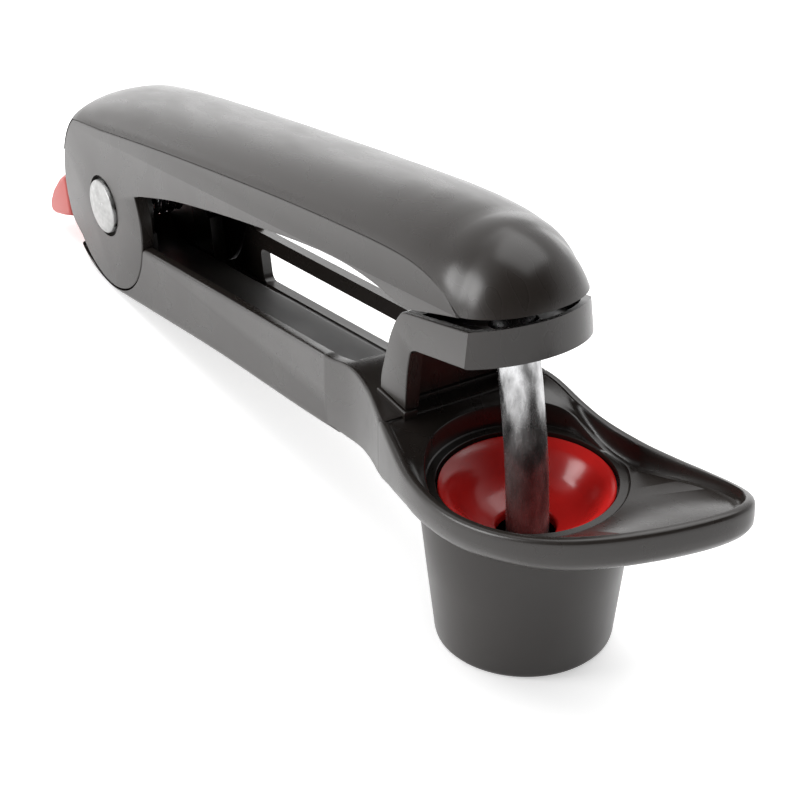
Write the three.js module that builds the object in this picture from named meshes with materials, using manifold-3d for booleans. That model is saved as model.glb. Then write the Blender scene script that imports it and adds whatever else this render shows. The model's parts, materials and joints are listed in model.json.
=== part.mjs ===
// Hand-held cherry and olive pitter, shown closed and locked, standing on its pit cup and its heel.
// Millimetres, +Z up. The origin is on the table under the middle of the cup.
// +X runs from the hinge to the lip.
import * as THREE from "three";
import { mergeVertices } from "three/addons/utils/BufferGeometryUtils.js";
import Module from "manifold-3d";

const wasm = await Module();
wasm.setup();

// Driving dimensions
const HEEL_R = 17.4;           // round heel of the lower handle, which touches the table
const HINGE_X = -133;          // hinge axis, behind the cup's axis
const HINGE_Z = HEEL_R;        // hinge axis above the table
const EAR_R = 16.4;            // round ears of the lever, where the heel's lip laps them
const BACK_R = 18;             // round back of the lever
const LIP_R = 18.3;            // upper end of the heel's lip, a little fuller than the heel
const HALF_W = 11.8;           // half width of both handles
const GAP = 0.3;               // clearance between neighbouring pieces
const BASE_TILT = 12;          // degrees: the lower handle climbs towards the cup
const LEVER_TILT = 15;         // degrees: the closed lever climbs a little more
const LEVER_SWING = 18;        // degrees: how far the lever opens
const HEEL_START = 229;        // degrees about the hinge where the heel begins
const WALL = 1.9;              // wall of the lower handle
const PLUNGER_R = 3.5;
const PLUNGER_ARC = 133.4;     // the plunger is bent about the hinge
const CUP_RIM_R = 14.3;        // red cherry cup
const CUP_RIM_Z = 27.9;
const CUP_HOLE_R = 4.8;
const GUARD_TOP_R = 17.5;      // pit guard below the tray
const GUARD_TOP_Z = 26.9;
const GUARD_BOTTOM_R = 14.6;
const PIN_R = 2.2;
const CAP_R = 5.2;
const EAR_INNER = 9.4;         // inner face of the ears
const HUB_HALF = 8.2;          // half width of the lower handle's hinge hub
const HUB_R = 12.5;
const BUSH_R = 3.6;
const LINER = 0.8;             // thickness of the liner in the pocket
const POCKET_R = 12.7;         // round pocket about the hinge that holds the spring
const POCKET_HALF = 5.3;       // its half width

const rad = THREE.MathUtils.degToRad;

// ---- colours -------------------------------------------------------------------------------------
const finish = (color, roughness, metalness = 0) =>
  new THREE.MeshStandardMaterial({ color, roughness, metalness });
const DARK_PLASTIC = finish(0x3c3835, 0.38);
const DARK_INSIDE = finish(0x2a2623, 0.5);
const CUP_PLASTIC = finish(0x3f3b38, 0.45);
const RED_PLASTIC = finish(0xa51e20, 0.22);
const STEEL = finish(0xd8d8da, 0.22, 1);
const ZINC = finish(0xa8a8a6, 0.4, 1);

// ---- geometry helpers ----------------------------------------------------------------------------
function toSolid(geometry) {
  const bare = geometry.clone();
  bare.deleteAttribute("normal");
  bare.deleteAttribute("uv");
  const merged = mergeVertices(bare, 1e-4);
  return new wasm.Manifold(new wasm.Mesh({
    numProp: 3,
    vertProperties: new Float32Array(merged.attributes.position.array),
    triVerts: new Uint32Array(merged.index.array),
  }));
}

function toGeometry(solid) {
  const mesh = solid.getMesh();
  const geometry = new THREE.BufferGeometry();
  geometry.setAttribute("position", new THREE.BufferAttribute(new Float32Array(mesh.vertProperties), 3));
  geometry.setIndex(new THREE.BufferAttribute(new Uint32Array(mesh.triVerts), 1));
  geometry.computeVertexNormals();
  return geometry;
}

const join = (...geometries) => toGeometry(geometries.map(toSolid).reduce((a, b) => a.add(b)));
const cut = (body, ...tools) => toGeometry(tools.map(toSolid).reduce((a, b) => a.subtract(b), toSolid(body)));
const common = (a, b) => toGeometry(toSolid(a).intersect(toSolid(b)));

// A side profile of [x, z] points, extruded across from y0 to y1.
function across(points, y0, y1) {
  const shape = new THREE.Shape(points.map(([x, z]) => new THREE.Vector2(x, z)));
  const geometry = new THREE.ExtrudeGeometry(shape, { depth: y1 - y0, bevelEnabled: false });
  return geometry.rotateX(Math.PI / 2).translate(0, y1, 0);
}

// A plan outline of [x, y] points, extruded up from z0 to z1.
function upward(points, z0, z1) {
  const shape = new THREE.Shape(points.map(([x, y]) => new THREE.Vector2(x, y)));
  return new THREE.ExtrudeGeometry(shape, { depth: z1 - z0, bevelEnabled: false }).translate(0, 0, z0);
}

function box(x0, x1, y0, y1, z0, z1) {
  const geometry = new THREE.BoxGeometry(x1 - x0, y1 - y0, z1 - z0);
  return geometry.translate((x0 + x1) / 2, (y0 + y1) / 2, (z0 + z1) / 2);
}

// A disc or rod across the handle, about the hinge axis of a handle's own frame.
const rollerY = (r, y0, y1, sides = 40) =>
  new THREE.CylinderGeometry(r, r, y1 - y0, sides).translate(0, (y0 + y1) / 2, 0);

const upright = (r, z0, z1, sides = 40) =>
  new THREE.CylinderGeometry(r, r, z1 - z0, sides).rotateX(Math.PI / 2).translate(0, 0, (z0 + z1) / 2);

// A round piece about the vertical axis from [radius, z] points that close on themselves.
function turned(points, sides = 56) {
  const profile = [...points, points[0]].map(([r, z]) => new THREE.Vector2(r, z));
  return new THREE.LatheGeometry(profile, sides).rotateX(Math.PI / 2);
}

// A closed skin over rings of equal point count; the rings close on themselves like a bent tyre.
function tyre(rings) {
  const count = rings[0].length;
  const position = rings.flat(2);
  const index = [];
  rings.forEach((ring, r) => {
    const next = (r + 1) % rings.length;
    for (let i = 0; i < count; i += 1) {
      const j = (i + 1) % count;
      index.push(r * count + i, r * count + j, next * count + j);
      index.push(r * count + i, next * count + j, next * count + i);
    }
  });
  const geometry = new THREE.BufferGeometry();
  geometry.setAttribute("position", new THREE.Float32BufferAttribute(position, 3));
  geometry.setIndex(index);
  return geometry;
}

const arcPoints = (r, from, to, steps) =>
  Array.from({ length: steps + 1 }, (_, i) => {
    const a = rad(from + ((to - from) * i) / steps);
    return [r * Math.cos(a), r * Math.sin(a)];
  });

// A smooth line through a few [x, z] points.
const smooth = (points, steps) =>
  new THREE.SplineCurve(points.map(([x, z]) => new THREE.Vector2(x, z)))
    .getPoints(steps).map((p) => [p.x, p.y]);

// From a handle's own frame (u along it, v up, hinge at 0) to the part's frame.
function fromHinge(geometry, tilt) {
  return geometry.rotateY(-rad(tilt)).translate(HINGE_X, 0, HINGE_Z);
}

class HingeArc extends THREE.Curve {
  constructor(from, to) {
    super();
    this.from = from;
    this.to = to;
  }
  getPoint(t, target = new THREE.Vector3()) {
    const a = rad(this.from + (this.to - this.from) * t);
    return target.set(PLUNGER_ARC * Math.cos(a), 0, PLUNGER_ARC * Math.sin(a));
  }
}

// A rod bent about the hinge, between two angles above the horizontal.
function bentRod(r, from, to, sides = 20, steps = 10) {
  const points = arcPoints(r, 0, 360, sides).slice(0, sides).map(([x, y]) => new THREE.Vector2(x, y));
  const circle = new THREE.Shape(points);
  const options = { steps, extrudePath: new HingeArc(from, to), bevelEnabled: false };
  return new THREE.ExtrudeGeometry(circle, options).translate(HINGE_X, 0, HINGE_Z);
}

// ---- lower handle --------------------------------------------------------------------------------
const TOP_V = -4.8;            // top edge of its walls, below the hinge
const BOTTOM_V = -HEEL_R;
const FAR_TOP_V = -5.5;
const FLOOR_V = -16;
const RAIL_V = -12.5;          // top of the rail along the channel
const CHANNEL_FROM = 20;
const CHANNEL_TO = 96;
const DECK_Z = 34;             // rear deck of the tray, where the visor stands
const WELL_R = 16.3;           // round well that holds the red cup
const WELL_FLOOR_Z = 28.5;
const LEDGE_Z = 26.9;          // ledge that the cup's rim rests on
const LEDGE_R = 12.4;
const COLLAR_Z = 24.8;
const RECESS_R = 14.7;         // recess in the well's floor for the cup's rim
const COLLAR_R = 15.4;         // collar under the tray that carries the pit guard
const RIM_LOW = 32.7;
const RIM_RISE = 6.3;          // how far the lip stands above the rest of the rim
const LIP_X = 35;
const SCREW_X = -24.3;         // the two screws that hold the visor
const SCREW_Y = 6;

// Plan of the tray's rim, anticlockwise from the near rear corner; its pouring lip points to the far front.
const TRAY_OUTLINE = [
  [-28, -12.2], [-20.5, -15.6], [-10, -18.6], [2, -20], [12, -18.4], [21, -15.2], [28.5, -9.6],
  [33.8, -1.6], [36.7, 8.6], [36.4, 16.4], [32, 20.9], [24, 21.8], [12, 20.4], [2, 18.4],
  [-10, 17], [-20.5, 15.6], [-28, 12.2], [-29.5, 0],
];

function rimZ(x) {
  const forward = THREE.MathUtils.clamp(x / LIP_X, 0, 1.1);
  const back = THREE.MathUtils.clamp((-x - 14) / 10, 0, 1);
  return RIM_LOW + RIM_RISE * forward * forward + (DECK_Z - RIM_LOW) * back;
}

// The tray's wall as rings about the cup's axis: collar, underside, rim, sloping floor, well, ledge.
function trayRings() {
  const around = 64;
  const loop = [...TRAY_OUTLINE, TRAY_OUTLINE[0]].map(([x, y]) => new THREE.Vector2(x, y));
  const outline = new THREE.SplineCurve(loop).getPoints(around).slice(0, around);
  const ring = (radius, height) => outline.map((p) => {
    const away = p.length();
    const back = THREE.MathUtils.smoothstep(-p.x, 12, 24);
    const front = THREE.MathUtils.smoothstep(p.x, 4, 30);
    const place = { away, back, front, rim: rimZ(p.x) };
    const r = radius(place);
    return [(p.x / away) * r, (p.y / away) * r, height(place)];
  });
  const underside = GUARD_TOP_Z + GAP;
  return [
    ring(() => LEDGE_R, () => COLLAR_Z),
    ring(() => COLLAR_R, () => COLLAR_Z),
    ring(() => COLLAR_R, () => underside),
    ring(() => 17.9, () => underside),
    ring(() => 18, ({ back }) => underside + 0.2 - 5 * back),
    ring(
      ({ away, back }) => away - 2.4 + 2 * back,
      ({ rim, back, front }) => rim - 4.6 - 6.6 * back - 1.4 * front,
    ),
    ring(({ away }) => away, ({ rim }) => rim - 2.4),
    ring(({ away }) => away - 0.4, ({ rim }) => rim - 0.4),
    ring(({ away }) => away - 1.7, ({ rim }) => rim),
    ring(
      ({ away, back }) => away - 2.6 - back,
      ({ rim, back, front }) => rim - 3.4 * (1 - back) - 0.8 * front,
    ),
    ring(() => WELL_R + 0.2, ({ back }) => WELL_FLOOR_Z + 0.4 + (DECK_Z - WELL_FLOOR_Z - 1) * back),
    ring(() => WELL_R, () => WELL_FLOOR_Z),
    ring(() => RECESS_R, () => WELL_FLOOR_Z),
    ring(() => RECESS_R, () => LEDGE_Z),
    ring(() => LEDGE_R, () => LEDGE_Z),
  ];
}

// Long slot in the far wall, with rounded corners.
function windowOutline() {
  const [low, high, r] = [-15.8, -8.8, 1.4];
  const [from, to] = [CHANNEL_FROM + 1, CHANNEL_TO - 2];
  const corner = (u, v, start) => arcPoints(r, start, start + 90, 5).map(([x, z]) => [x + u, z + v]);
  return [
    ...corner(to - r, low + r, -90), ...corner(to - r, high - r, 0),
    ...corner(from + r, high - r, 90), ...corner(from + r, low + r, 180),
  ];
}

// What the lever's ear sweeps: its radius falls from the back's to the ear's over one swing.
function earSweep(from) {
  const start = rad(from);
  const points = [];
  for (let i = 0; i < 72; i += 1) {
    const turn = (i / 72) * 360;
    const fall = THREE.MathUtils.clamp(turn / LEVER_SWING, 0, 1);
    const rise = THREE.MathUtils.clamp((turn - 300) / 20, 0, 1);
    const r = BACK_R + (EAR_R - BACK_R) * (fall - rise);
    points.push([r, start + rad(turn)]);
  }
  return points;
}
const polar = (points, extra) => points.map(([r, a]) => [(r + extra) * Math.cos(a), (r + extra) * Math.sin(a)]);

// The heel's outer line, from the end of its lip down to the flat underside.
function heelOutline(from) {
  return arcPoints(1, from, 270, 18).map(([x, z], i) => {
    const r = HEEL_R + (LIP_R - HEEL_R) * (1 - THREE.MathUtils.smoothstep(i, 0, 14));
    return [x * r, z * r];
  });
}

function lowerShell() {
  const heelFrom = HEEL_START - BASE_TILT;
  const side = [...heelOutline(heelFrom), [107, BOTTOM_V], [107, TOP_V], [6, TOP_V], [0, 0]];
  const sweep = polar(earSweep(heelFrom), GAP);
  const handle = cut(
    across(side, -HALF_W, HALF_W),
    across(sweep, HUB_HALF, HALF_W + 1),
    across(sweep, -HALF_W - 1, -HUB_HALF),
    box(CHANNEL_FROM, CHANNEL_TO, -HALF_W + WALL, HALF_W - WALL, FLOOR_V, 0),
    box(CHANNEL_FROM, CHANNEL_TO, 0, HALF_W + 1, FAR_TOP_V, 0),
    across(windowOutline(), HALF_W - WALL - 1, HALF_W + 1),
  );
  const pocketR = POCKET_R + LINER + GAP;
  const slotHalf = POCKET_HALF + GAP;
  const hubbed = cut(
    join(handle, rollerY(HUB_R, -HUB_HALF, HUB_HALF, 48)),
    rollerY(pocketR, -slotHalf, slotHalf, 56),
    rollerY(BUSH_R + GAP, -HUB_HALF - 1, HUB_HALF + 1, 32),
    box(0, CHANNEL_FROM + 1, -slotHalf, slotHalf, -pocketR, 0),
    box(-20, -9.5, -4.4, 4.4, -8.4, 0),
  );
  const placed = fromHinge(hubbed, BASE_TILT);
  const screwHoles = [-SCREW_Y, SCREW_Y].flatMap((y) => [
    upright(1.6, 20, DECK_Z + 1, 20).translate(SCREW_X, y, 0),
    upright(3, 10, 25.2, 24).translate(SCREW_X, y, 0),
  ]);
  return cut(join(placed, tyre(trayRings())), ...screwHoles);
}

// Rail along the channel that curls up round the pocket, with a thin wall beside the near wall.
function channelLiner() {
  const from = CHANNEL_FROM + GAP;
  const to = CHANNEL_TO - GAP;
  const bottom = FLOOR_V + GAP;
  const side = [
    ...arcPoints(POCKET_R + LINER, 222, 270, 14), [from, -POCKET_R - LINER], [from, bottom], [to, bottom],
    [to, RAIL_V], [6, RAIL_V], ...arcPoints(POCKET_R, 222, 268, 14).reverse(),
  ];
  const nearWall = -HALF_W + WALL + GAP;
  return fromHinge(join(
    across(side, -POCKET_HALF, POCKET_HALF),
    box(from, to, nearWall, -4, bottom, bottom + LINER),
    box(from, to, nearWall, nearWall + 0.9, bottom, -6),
  ), BASE_TILT);
}

// ---- visor: the stripper plate on its bracket ----------------------------------------------------
const VISOR_CORNER_X = -0.4;   // where its straight sides meet the round front
const NOSE_BULGE = 6.3;        // how far the round front stands ahead of the corners

function noseOutline(cornerX, half, bulge, back) {
  const r = (half * half + bulge * bulge) / (2 * bulge);
  const reach = THREE.MathUtils.radToDeg(Math.asin(half / r));
  const front = arcPoints(r, -reach, reach, 14).map(([x, y]) => [x + cornerX + bulge - r, y]);
  return [[back, -half], ...front, [back, half]];
}

function visor() {
  const side = [
    [-26.4, DECK_Z + GAP], [-25.8, 39], [-24.7, 43], [-23.2, 47.2], [-21.3, 50.8], [-19.9, 52.9],
    [12, 63.1], [12, 56.7], [-16.2, 47.6], [-17.2, 44.4], [-18.1, 40], [-18.4, DECK_Z + GAP],
  ];
  const bracket = common(
    across(side, -HALF_W, HALF_W),
    upward(noseOutline(VISOR_CORNER_X, HALF_W, NOSE_BULGE, -40), 30, 70),
  );
  const hollow = [[-22.2, 30], [-22.2, 44], [-20.6, 48.6], [-17.5, 47.6], [-10, 44], [-10, 30]];
  const topLine = (x) => 52.9 + (x + 19.9) * 0.3205;
  const sunk = across([[-14, topLine(-14) - 2.2], [20, topLine(20) - 2.2], [20, 90], [-14, 90]], -20, 20);
  const rim = noseOutline(VISOR_CORNER_X - 1.2, HALF_W - 1.5, NOSE_BULGE - 0.3, -14);
  const dish = common(sunk, upward(rim, 30, 90));
  return cut(
    bracket, across(hollow, -9.2, 9.2), bentRod(PLUNGER_R + 0.6, 5, 25, 28, 10), dish,
    ...[-SCREW_Y, SCREW_Y].map((y) => upright(1.6, 30, 41.5, 20).translate(SCREW_X, y, 0)),
  );
}

// Pan-head screw pointing up: head with its drive recess below, shank above.
function panScrew(r, headR, headH, length) {
  const half = [
    [0, 0.9], [0.9, 0.9], [0.9, 0], [headR - 0.4, 0], [headR, 0.4], [headR, headH],
    [r, headH], [r, length - r], [0, length],
  ];
  return new THREE.LatheGeometry(half.map(([x, z]) => new THREE.Vector2(x, z)), 24).rotateX(Math.PI / 2);
}

const visorScrew = (y) => panScrew(1.3, 2.6, 1.8, 17.5).translate(SCREW_X, y, 23.1);

// ---- hinge ---------------------------------------------------------------------------------------
function ringY(inner, outer, y0, y1, sides = 40) {
  return cut(rollerY(outer, y0, y1, sides), rollerY(inner, y0 - 1, y1 + 1, sides));
}

class Helix extends THREE.Curve {
  constructor(r, turns, half, start) {
    super();
    Object.assign(this, { r, turns, half, start });
  }
  getPoint(t, target = new THREE.Vector3()) {
    const a = rad(this.start) - t * this.turns * 2 * Math.PI;
    return target.set(this.r * Math.cos(a), -this.half + 2 * this.half * t, this.r * Math.sin(a));
  }
}

// Coil round the pin, with one leg back against the pocket and one forward under the lever's bridge.
function torsionSpring() {
  const wire = 0.7;
  const coilR = 3.7;
  const half = 3.6;
  const turns = 4.5;
  const coil = new Helix(coilR, turns, half, -90);
  const points = [new THREE.Vector3(-7.6, -half, -8.9), new THREE.Vector3(-5, -half, -6)];
  const perTurn = 10;
  for (let i = 0; i <= turns * perTurn; i += 1) points.push(coil.getPoint(i / (turns * perTurn)));
  points.push(new THREE.Vector3(12, half, coilR + 2.2), new THREE.Vector3(26, half, coilR + 5.4));
  const path = new THREE.CatmullRomCurve3(points);
  const circle = arcPoints(wire, 0, 360, 8).slice(0, 8).map(([x, y]) => new THREE.Vector2(x, y));
  const options = { steps: 96, extrudePath: path, bevelEnabled: false };
  return new THREE.ExtrudeGeometry(new THREE.Shape(circle), options);
}

function pinCap(side) {
  const dome = [
    [0, 0], [PIN_R - 0.2, 0], [PIN_R - 0.2, 0.4], [CAP_R, 0.4], [CAP_R, 1.1],
    [CAP_R * 0.86, 1.55], [CAP_R * 0.5, 1.85], [0, 1.95],
  ];
  const points = dome.map(([r, h]) => new THREE.Vector2(r, h));
  const cap = new THREE.LatheGeometry(points, 40);
  if (side < 0) cap.rotateX(Math.PI);
  return cap.translate(HINGE_X, side * (HALF_W - 1.0), HINGE_Z);
}

// ---- lever ---------------------------------------------------------------------------------------
const NOSE_U = 137.2;
const NOSE_V = 8.1;
const LOWER_EDGE = [
  [17.6, 5], [32, 7], [46, 8.1], [63, 9], [86, 9.7], [99.5, 9.4], [110, 8], [119.2, 6], [128, 6.9],
];
const SEAM = [
  [NOSE_U, NOSE_V], [133.2, 11.8], [127.3, 14.1], [119, 15.3], [104, 16], [80, 16.5], [48, 16.5],
  [24, 16.2], [4, 15.7],
];
const BRIDGE_SCREWS = [46, 100];
const CARRIER_SCREW_Y = 6.4;

// The seam's height: a gentle line, then round the back with the lever's own radius.
const seamCurve = new THREE.SplineCurve(SEAM.map(([x, z]) => new THREE.Vector2(x, z)).reverse()).getPoints(160);
function seamAt(u) {
  if (u <= 4) return Math.min(SEAM.at(-1)[1], Math.sqrt(Math.max(BACK_R * BACK_R - u * u, 0)));
  const next = seamCurve.findIndex((p) => p.x >= u);
  if (next < 1) return u < 10 ? SEAM.at(-1)[1] : NOSE_V;
  const a = seamCurve[next - 1];
  const b = seamCurve[next];
  return a.y + ((b.y - a.y) * (u - a.x)) / (b.x - a.x);
}

function earOutline() {
  const toBack = HEEL_START - LEVER_SWING - LEVER_TILT;
  const taper = Array.from({ length: 7 }, (_, i) => [
    BACK_R + ((EAR_R - BACK_R) * i) / 6, rad(toBack + (LEVER_SWING * i) / 6),
  ]);
  return [
    ...arcPoints(BACK_R, 119.4, toBack - 4, 14),
    ...polar(taper, 0),
    ...arcPoints(EAR_R, toBack + LEVER_SWING + 4, 376, 34),
  ];
}

function leverFrame() {
  const side = [...earOutline(), ...smooth(LOWER_EDGE, 20), ...smooth(SEAM, 24)];
  const shape = common(
    across(side, -HALF_W, HALF_W),
    upward(noseOutline(NOSE_U, HALF_W, NOSE_BULGE, -40), -30, 40),
  );
  const wallEnd = 175;
  const backWall = across([
    ...arcPoints(15, 60, wallEnd, 24).reverse(), ...arcPoints(BACK_R + 2, 60, wallEnd, 24),
  ], -EAR_INNER, EAR_INNER);
  const inside = cut(box(-30, 150, -EAR_INNER, EAR_INNER, -30, 30), backWall);
  const walls = cut(
    shape, inside, rollerY(PIN_R + GAP, -30, 30, 32),
    rollerY(CAP_R + 0.5, -30, -HALF_W + 0.9, 40), rollerY(CAP_R + 0.5, HALF_W - 0.9, 30, 40),
  );
  const bridge = (u, v0, v1) => box(u - 3, u + 3, -10.2, 10.2, v0, v1);
  const bridges = BRIDGE_SCREWS.map((u) => bridge(u, 11.6, 13.6));
  return cut(
    join(walls, ...bridges, box(28, 30, -10.2, 10.2, 11.4, 15.6)),
    ...BRIDGE_SCREWS.map((u) => upright(1.6, 5, 20, 20).translate(u, 0, 0)),
  );
}

// A closed solid over D-shaped sections along the lever: each an arch on a flat bottom.
function archedSolid(stations, steps) {
  const position = [];
  const index = [];
  const count = steps + 1;
  stations.forEach(({ u, half, low, rise }) => {
    for (let i = 0; i <= steps; i += 1) {
      const a = Math.PI * (i / steps);
      const y = -half * Math.sign(Math.cos(a)) * Math.pow(Math.abs(Math.cos(a)), 0.86);
      position.push(u, y, low + rise * Math.pow(Math.sin(a), 0.86));
    }
  });
  const last = (stations.length - 1) * count;
  for (let s = 0; s < last; s += count) {
    for (let i = 0; i < count; i += 1) {
      const j = (i + 1) % count;
      index.push(s + i, s + count + j, s + j, s + i, s + count + i, s + count + j);
    }
  }
  for (let i = 1; i + 1 < count; i += 1) {
    index.push(0, i, i + 1);
    index.push(last, last + i + 1, last + i);
  }
  const geometry = new THREE.BufferGeometry();
  geometry.setAttribute("position", new THREE.Float32BufferAttribute(position, 3));
  geometry.setIndex(index);
  return geometry;
}

const NOSE_TIP_U = 146.6;
const CROWN_RISE = 5;

function crownStation(u, inset) {
  const noseStart = 122;
  const nose = THREE.MathUtils.clamp((u - noseStart) / (NOSE_TIP_U - noseStart), 0, 1);
  const tail = THREE.MathUtils.clamp((8 - u) / 24, 0, 1);
  const round = Math.sqrt(Math.max(1 - Math.pow(nose, 4), 0));
  const taper = THREE.MathUtils.clamp((u - 130) / 16.8, 0, 1);
  const half = HALF_W * Math.sqrt(Math.max(1 - Math.pow(taper, 3.4), 0.01));
  const low = seamAt(Math.min(u, NOSE_U)) + GAP;
  const flatTop = 20.9 - 0.6 * nose;
  const top = u < 8
    ? seamAt(4) + CROWN_RISE * Math.sqrt(1 - tail * tail)
    : Math.min(16.2 + CROWN_RISE - 0.4, flatTop);
  const crown = u > noseStart ? 13.6 + (top - 13.6) * round : top;
  const drop = inset ? 4 : 0;
  return { u, half: half - inset, low: low - drop, rise: Math.max(crown - low - inset + drop, 0.6) };
}

function leverCover() {
  const steps = 18;
  const outerAt = [
    -15.6, -14.4, -12.4, -10.4, -8.9, -4, 2, 10, 30, 60, 90, 108, 118, 126, 131, 135, 138.5, 141.5, 144, 145.8,
  ];
  const innerAt = [-10.5, -7, -2, 4, 12, 30, 60, 90, 108, 118, 126, 131, 135, 138.5, 141];
  const shell = cut(
    archedSolid(outerAt.map((u) => crownStation(u, 0)), steps),
    archedSolid(innerAt.map((u) => crownStation(u, 2)), steps),
  );
  const bosses = BRIDGE_SCREWS.map((u) =>
    cut(upright(3, 14, 19.8, 24), upright(1.6, 13, 18.5, 20)).translate(u, 0, 0));
  return join(shell, ...bosses);
}

const coverScrew = (u) => panScrew(1.3, 2.7, 1.8, 8.6).translate(u, 0, 9.5);

// Block that grips the top of the plunger, screwed up into the cover's nose.
const CARRIER = { back: 126.5, front: 137.6, half: 7.6, low: 9.2, high: 13 };

function plungerCarrier() {
  const block = box(CARRIER.back, CARRIER.front, -CARRIER.half, CARRIER.half, CARRIER.low, CARRIER.high);
  const neck = upright(6, CARRIER.high - 1, 16.2, 32).translate(132.6, 0, 0);
  return cut(
    fromHinge(join(block, neck), LEVER_TILT),
    bentRod(PLUNGER_R + GAP, 15, 26, 24, 6),
    fromHinge(rollerY(1.3, -12, 12, 20).translate(132.9, 0, 11.2), LEVER_TILT),
  );
}

function plungerRod() {
  const rod = bentRod(PLUNGER_R, -4, 21.4, 24, 16);
  return cut(rod, fromHinge(rollerY(1.3, -12, 12, 20).translate(132.9, 0, 11.2), LEVER_TILT));
}

const crossPin = () => fromHinge(rollerY(1, -8, 8, 16).translate(132.9, 0, 11.2), LEVER_TILT);

// ---- lock ----------------------------------------------------------------------------------------
function lockSlider() {
  const grip = [
    [-151.3, 5.9], [-153, 14.2], [-156.6, 11.8], [-159.6, 8.2], [-161.4, 4.4], [-161, 2.6], [-159.2, 2.7],
    [-155.6, 4],
  ];
  const tongue = fromHinge(box(-22.6, -10.6, -4, 4, -8, -5.4), BASE_TILT);
  return join(across(grip.reverse(), -11, 11), tongue);
}

// ---- cherry cup and pit guard --------------------------------------------------------------------
function cherryCup() {
  return turned([
    [CUP_RIM_R, CUP_RIM_Z - 0.7], [CUP_RIM_R, CUP_RIM_Z - 0.2], [CUP_RIM_R - 0.3, CUP_RIM_Z], [12.6, 27.4],
    [10.8, 24.6], [8.2, 21.9], [CUP_HOLE_R + 0.6, 20.3], [CUP_HOLE_R, 19.6], [CUP_HOLE_R, 18.4], [7.4, 19.4],
    [9.9, 21.4], [11.6, 23.8], [12.1, 25.6], [12.1, CUP_RIM_Z - 0.7],
  ], 56);
}

function pitGuard() {
  const wall = 1.7;
  return turned([
    [0.01, 0], [GUARD_BOTTOM_R - 0.8, 0], [GUARD_BOTTOM_R, 0.8], [GUARD_TOP_R, GUARD_TOP_Z],
    [GUARD_TOP_R - wall, GUARD_TOP_Z], [GUARD_BOTTOM_R - wall + 0.2, 3.2],
    [GUARD_BOTTOM_R - 3.4, 1.6], [0.01, 1.6],
  ], 56);
}

// ---- assembly ------------------------------------------------------------------------------------
const pitter = new THREE.Group();
function add(name, geometry, material) {
  const mesh = new THREE.Mesh(geometry, material);
  mesh.name = name;
  pitter.add(mesh);
}
const atHinge = (geometry) => geometry.translate(HINGE_X, 0, HINGE_Z);

add("lower_shell", lowerShell(), DARK_PLASTIC);
add("channel_liner", channelLiner(), DARK_INSIDE);
add("visor", visor(), DARK_PLASTIC);
add("visor_screw_near", visorScrew(-SCREW_Y), STEEL);
add("visor_screw_far", visorScrew(SCREW_Y), STEEL);
add("hinge_bush_near", atHinge(ringY(PIN_R + GAP, BUSH_R, -HUB_HALF, -POCKET_HALF - GAP)), DARK_INSIDE);
add("hinge_bush_far", atHinge(ringY(PIN_R + GAP, BUSH_R, POCKET_HALF + GAP, HUB_HALF)), DARK_INSIDE);
add("hinge_washer_near", atHinge(ringY(PIN_R + GAP, 6, -HUB_HALF - 0.9, -HUB_HALF - 0.3)), STEEL);
add("hinge_washer_far", atHinge(ringY(PIN_R + GAP, 6, HUB_HALF + 0.3, HUB_HALF + 0.9)), STEEL);
add("torsion_spring", fromHinge(torsionSpring(), BASE_TILT), STEEL);
add("lever_frame", fromHinge(leverFrame(), LEVER_TILT), DARK_PLASTIC);
add("lever_cover", fromHinge(leverCover(), LEVER_TILT), DARK_PLASTIC);
add("cover_screw_rear", fromHinge(coverScrew(BRIDGE_SCREWS[0]), LEVER_TILT), STEEL);
add("cover_screw_front", fromHinge(coverScrew(BRIDGE_SCREWS[1]), LEVER_TILT), STEEL);
add("plunger_rod", plungerRod(), STEEL);
add("plunger_carrier", plungerCarrier(), DARK_INSIDE);
add("plunger_cross_pin", crossPin(), STEEL);
add("hinge_pin", atHinge(rollerY(PIN_R, -10.5, 10.5, 32)), STEEL);
add("pin_cap_near", pinCap(-1), ZINC);
add("pin_cap_far", pinCap(1), ZINC);
add("lock_slider", lockSlider(), RED_PLASTIC);
add("cherry_cup", cherryCup(), RED_PLASTIC);
add("pit_guard", pitGuard(), CUP_PLASTIC);
export default pitter;
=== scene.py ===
"""Looks of the hand-held cherry and olive pitter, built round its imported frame. Shapes are in millimetres
until a mesh is made; stage, lights, camera and the frame itself are in metres."""
import json
import math

import bmesh
import bpy
from mathutils import Matrix, Vector


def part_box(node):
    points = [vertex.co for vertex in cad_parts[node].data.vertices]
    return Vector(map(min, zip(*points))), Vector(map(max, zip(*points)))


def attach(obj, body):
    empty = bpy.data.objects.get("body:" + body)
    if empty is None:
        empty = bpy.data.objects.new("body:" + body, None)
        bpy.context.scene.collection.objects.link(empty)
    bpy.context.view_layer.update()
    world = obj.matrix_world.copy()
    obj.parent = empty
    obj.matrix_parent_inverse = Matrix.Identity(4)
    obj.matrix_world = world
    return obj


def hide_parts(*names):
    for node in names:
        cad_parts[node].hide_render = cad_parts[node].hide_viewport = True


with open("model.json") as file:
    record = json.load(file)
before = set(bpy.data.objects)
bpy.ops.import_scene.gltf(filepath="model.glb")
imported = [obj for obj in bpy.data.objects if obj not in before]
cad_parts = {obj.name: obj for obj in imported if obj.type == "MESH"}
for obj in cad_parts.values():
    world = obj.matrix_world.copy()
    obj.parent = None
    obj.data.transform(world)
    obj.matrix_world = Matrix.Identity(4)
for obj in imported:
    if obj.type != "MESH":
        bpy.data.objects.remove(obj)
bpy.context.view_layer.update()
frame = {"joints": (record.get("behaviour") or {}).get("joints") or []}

MM = 0.001
GAP = 0.3
JOINTS = {joint["name"]: joint for joint in frame["joints"]}
HINGE = [value / MM for value in JOINTS["lever_hinge"]["pos_m"]]


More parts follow.
